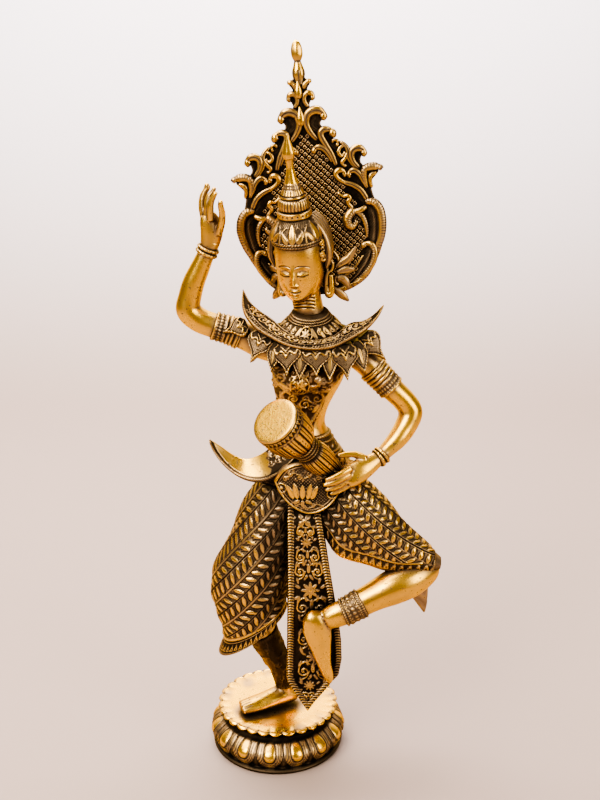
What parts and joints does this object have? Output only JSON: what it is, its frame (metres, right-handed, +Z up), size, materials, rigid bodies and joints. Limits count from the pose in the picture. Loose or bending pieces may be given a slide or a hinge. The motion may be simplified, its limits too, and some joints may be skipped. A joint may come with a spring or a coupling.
{
  "type": "apsara figure",
  "caption": "Cast brass temple dancer with a hand drum, poised with a raised knee on a lotus plinth, with a tall crown and a leaf-shaped crest plate of scrollwork behind the head.",
  "frame": {"origin": "centre of the plinth's flat underside", "axes": "+Z up through the figure, -Y towards the viewer in front, +X to the viewer's right"},
  "size_m": [0.2176, 0.1436, 0.6008],
  "materials": {
    "plinth_brass": "polished top, dark antiqued recesses between the petals",
    "dancer_brass": "polished skin, dark antiqued recesses in the carved cloth",
    "crest_brass": "dark antiqued ground with rubbed bright scrolls"
  },
  "bodies": {
    "root": {"lotus_plinth": "plinth_brass", "dancer": "dancer_brass", "crest_plate": "crest_brass"}
  },
  "joints": []
}
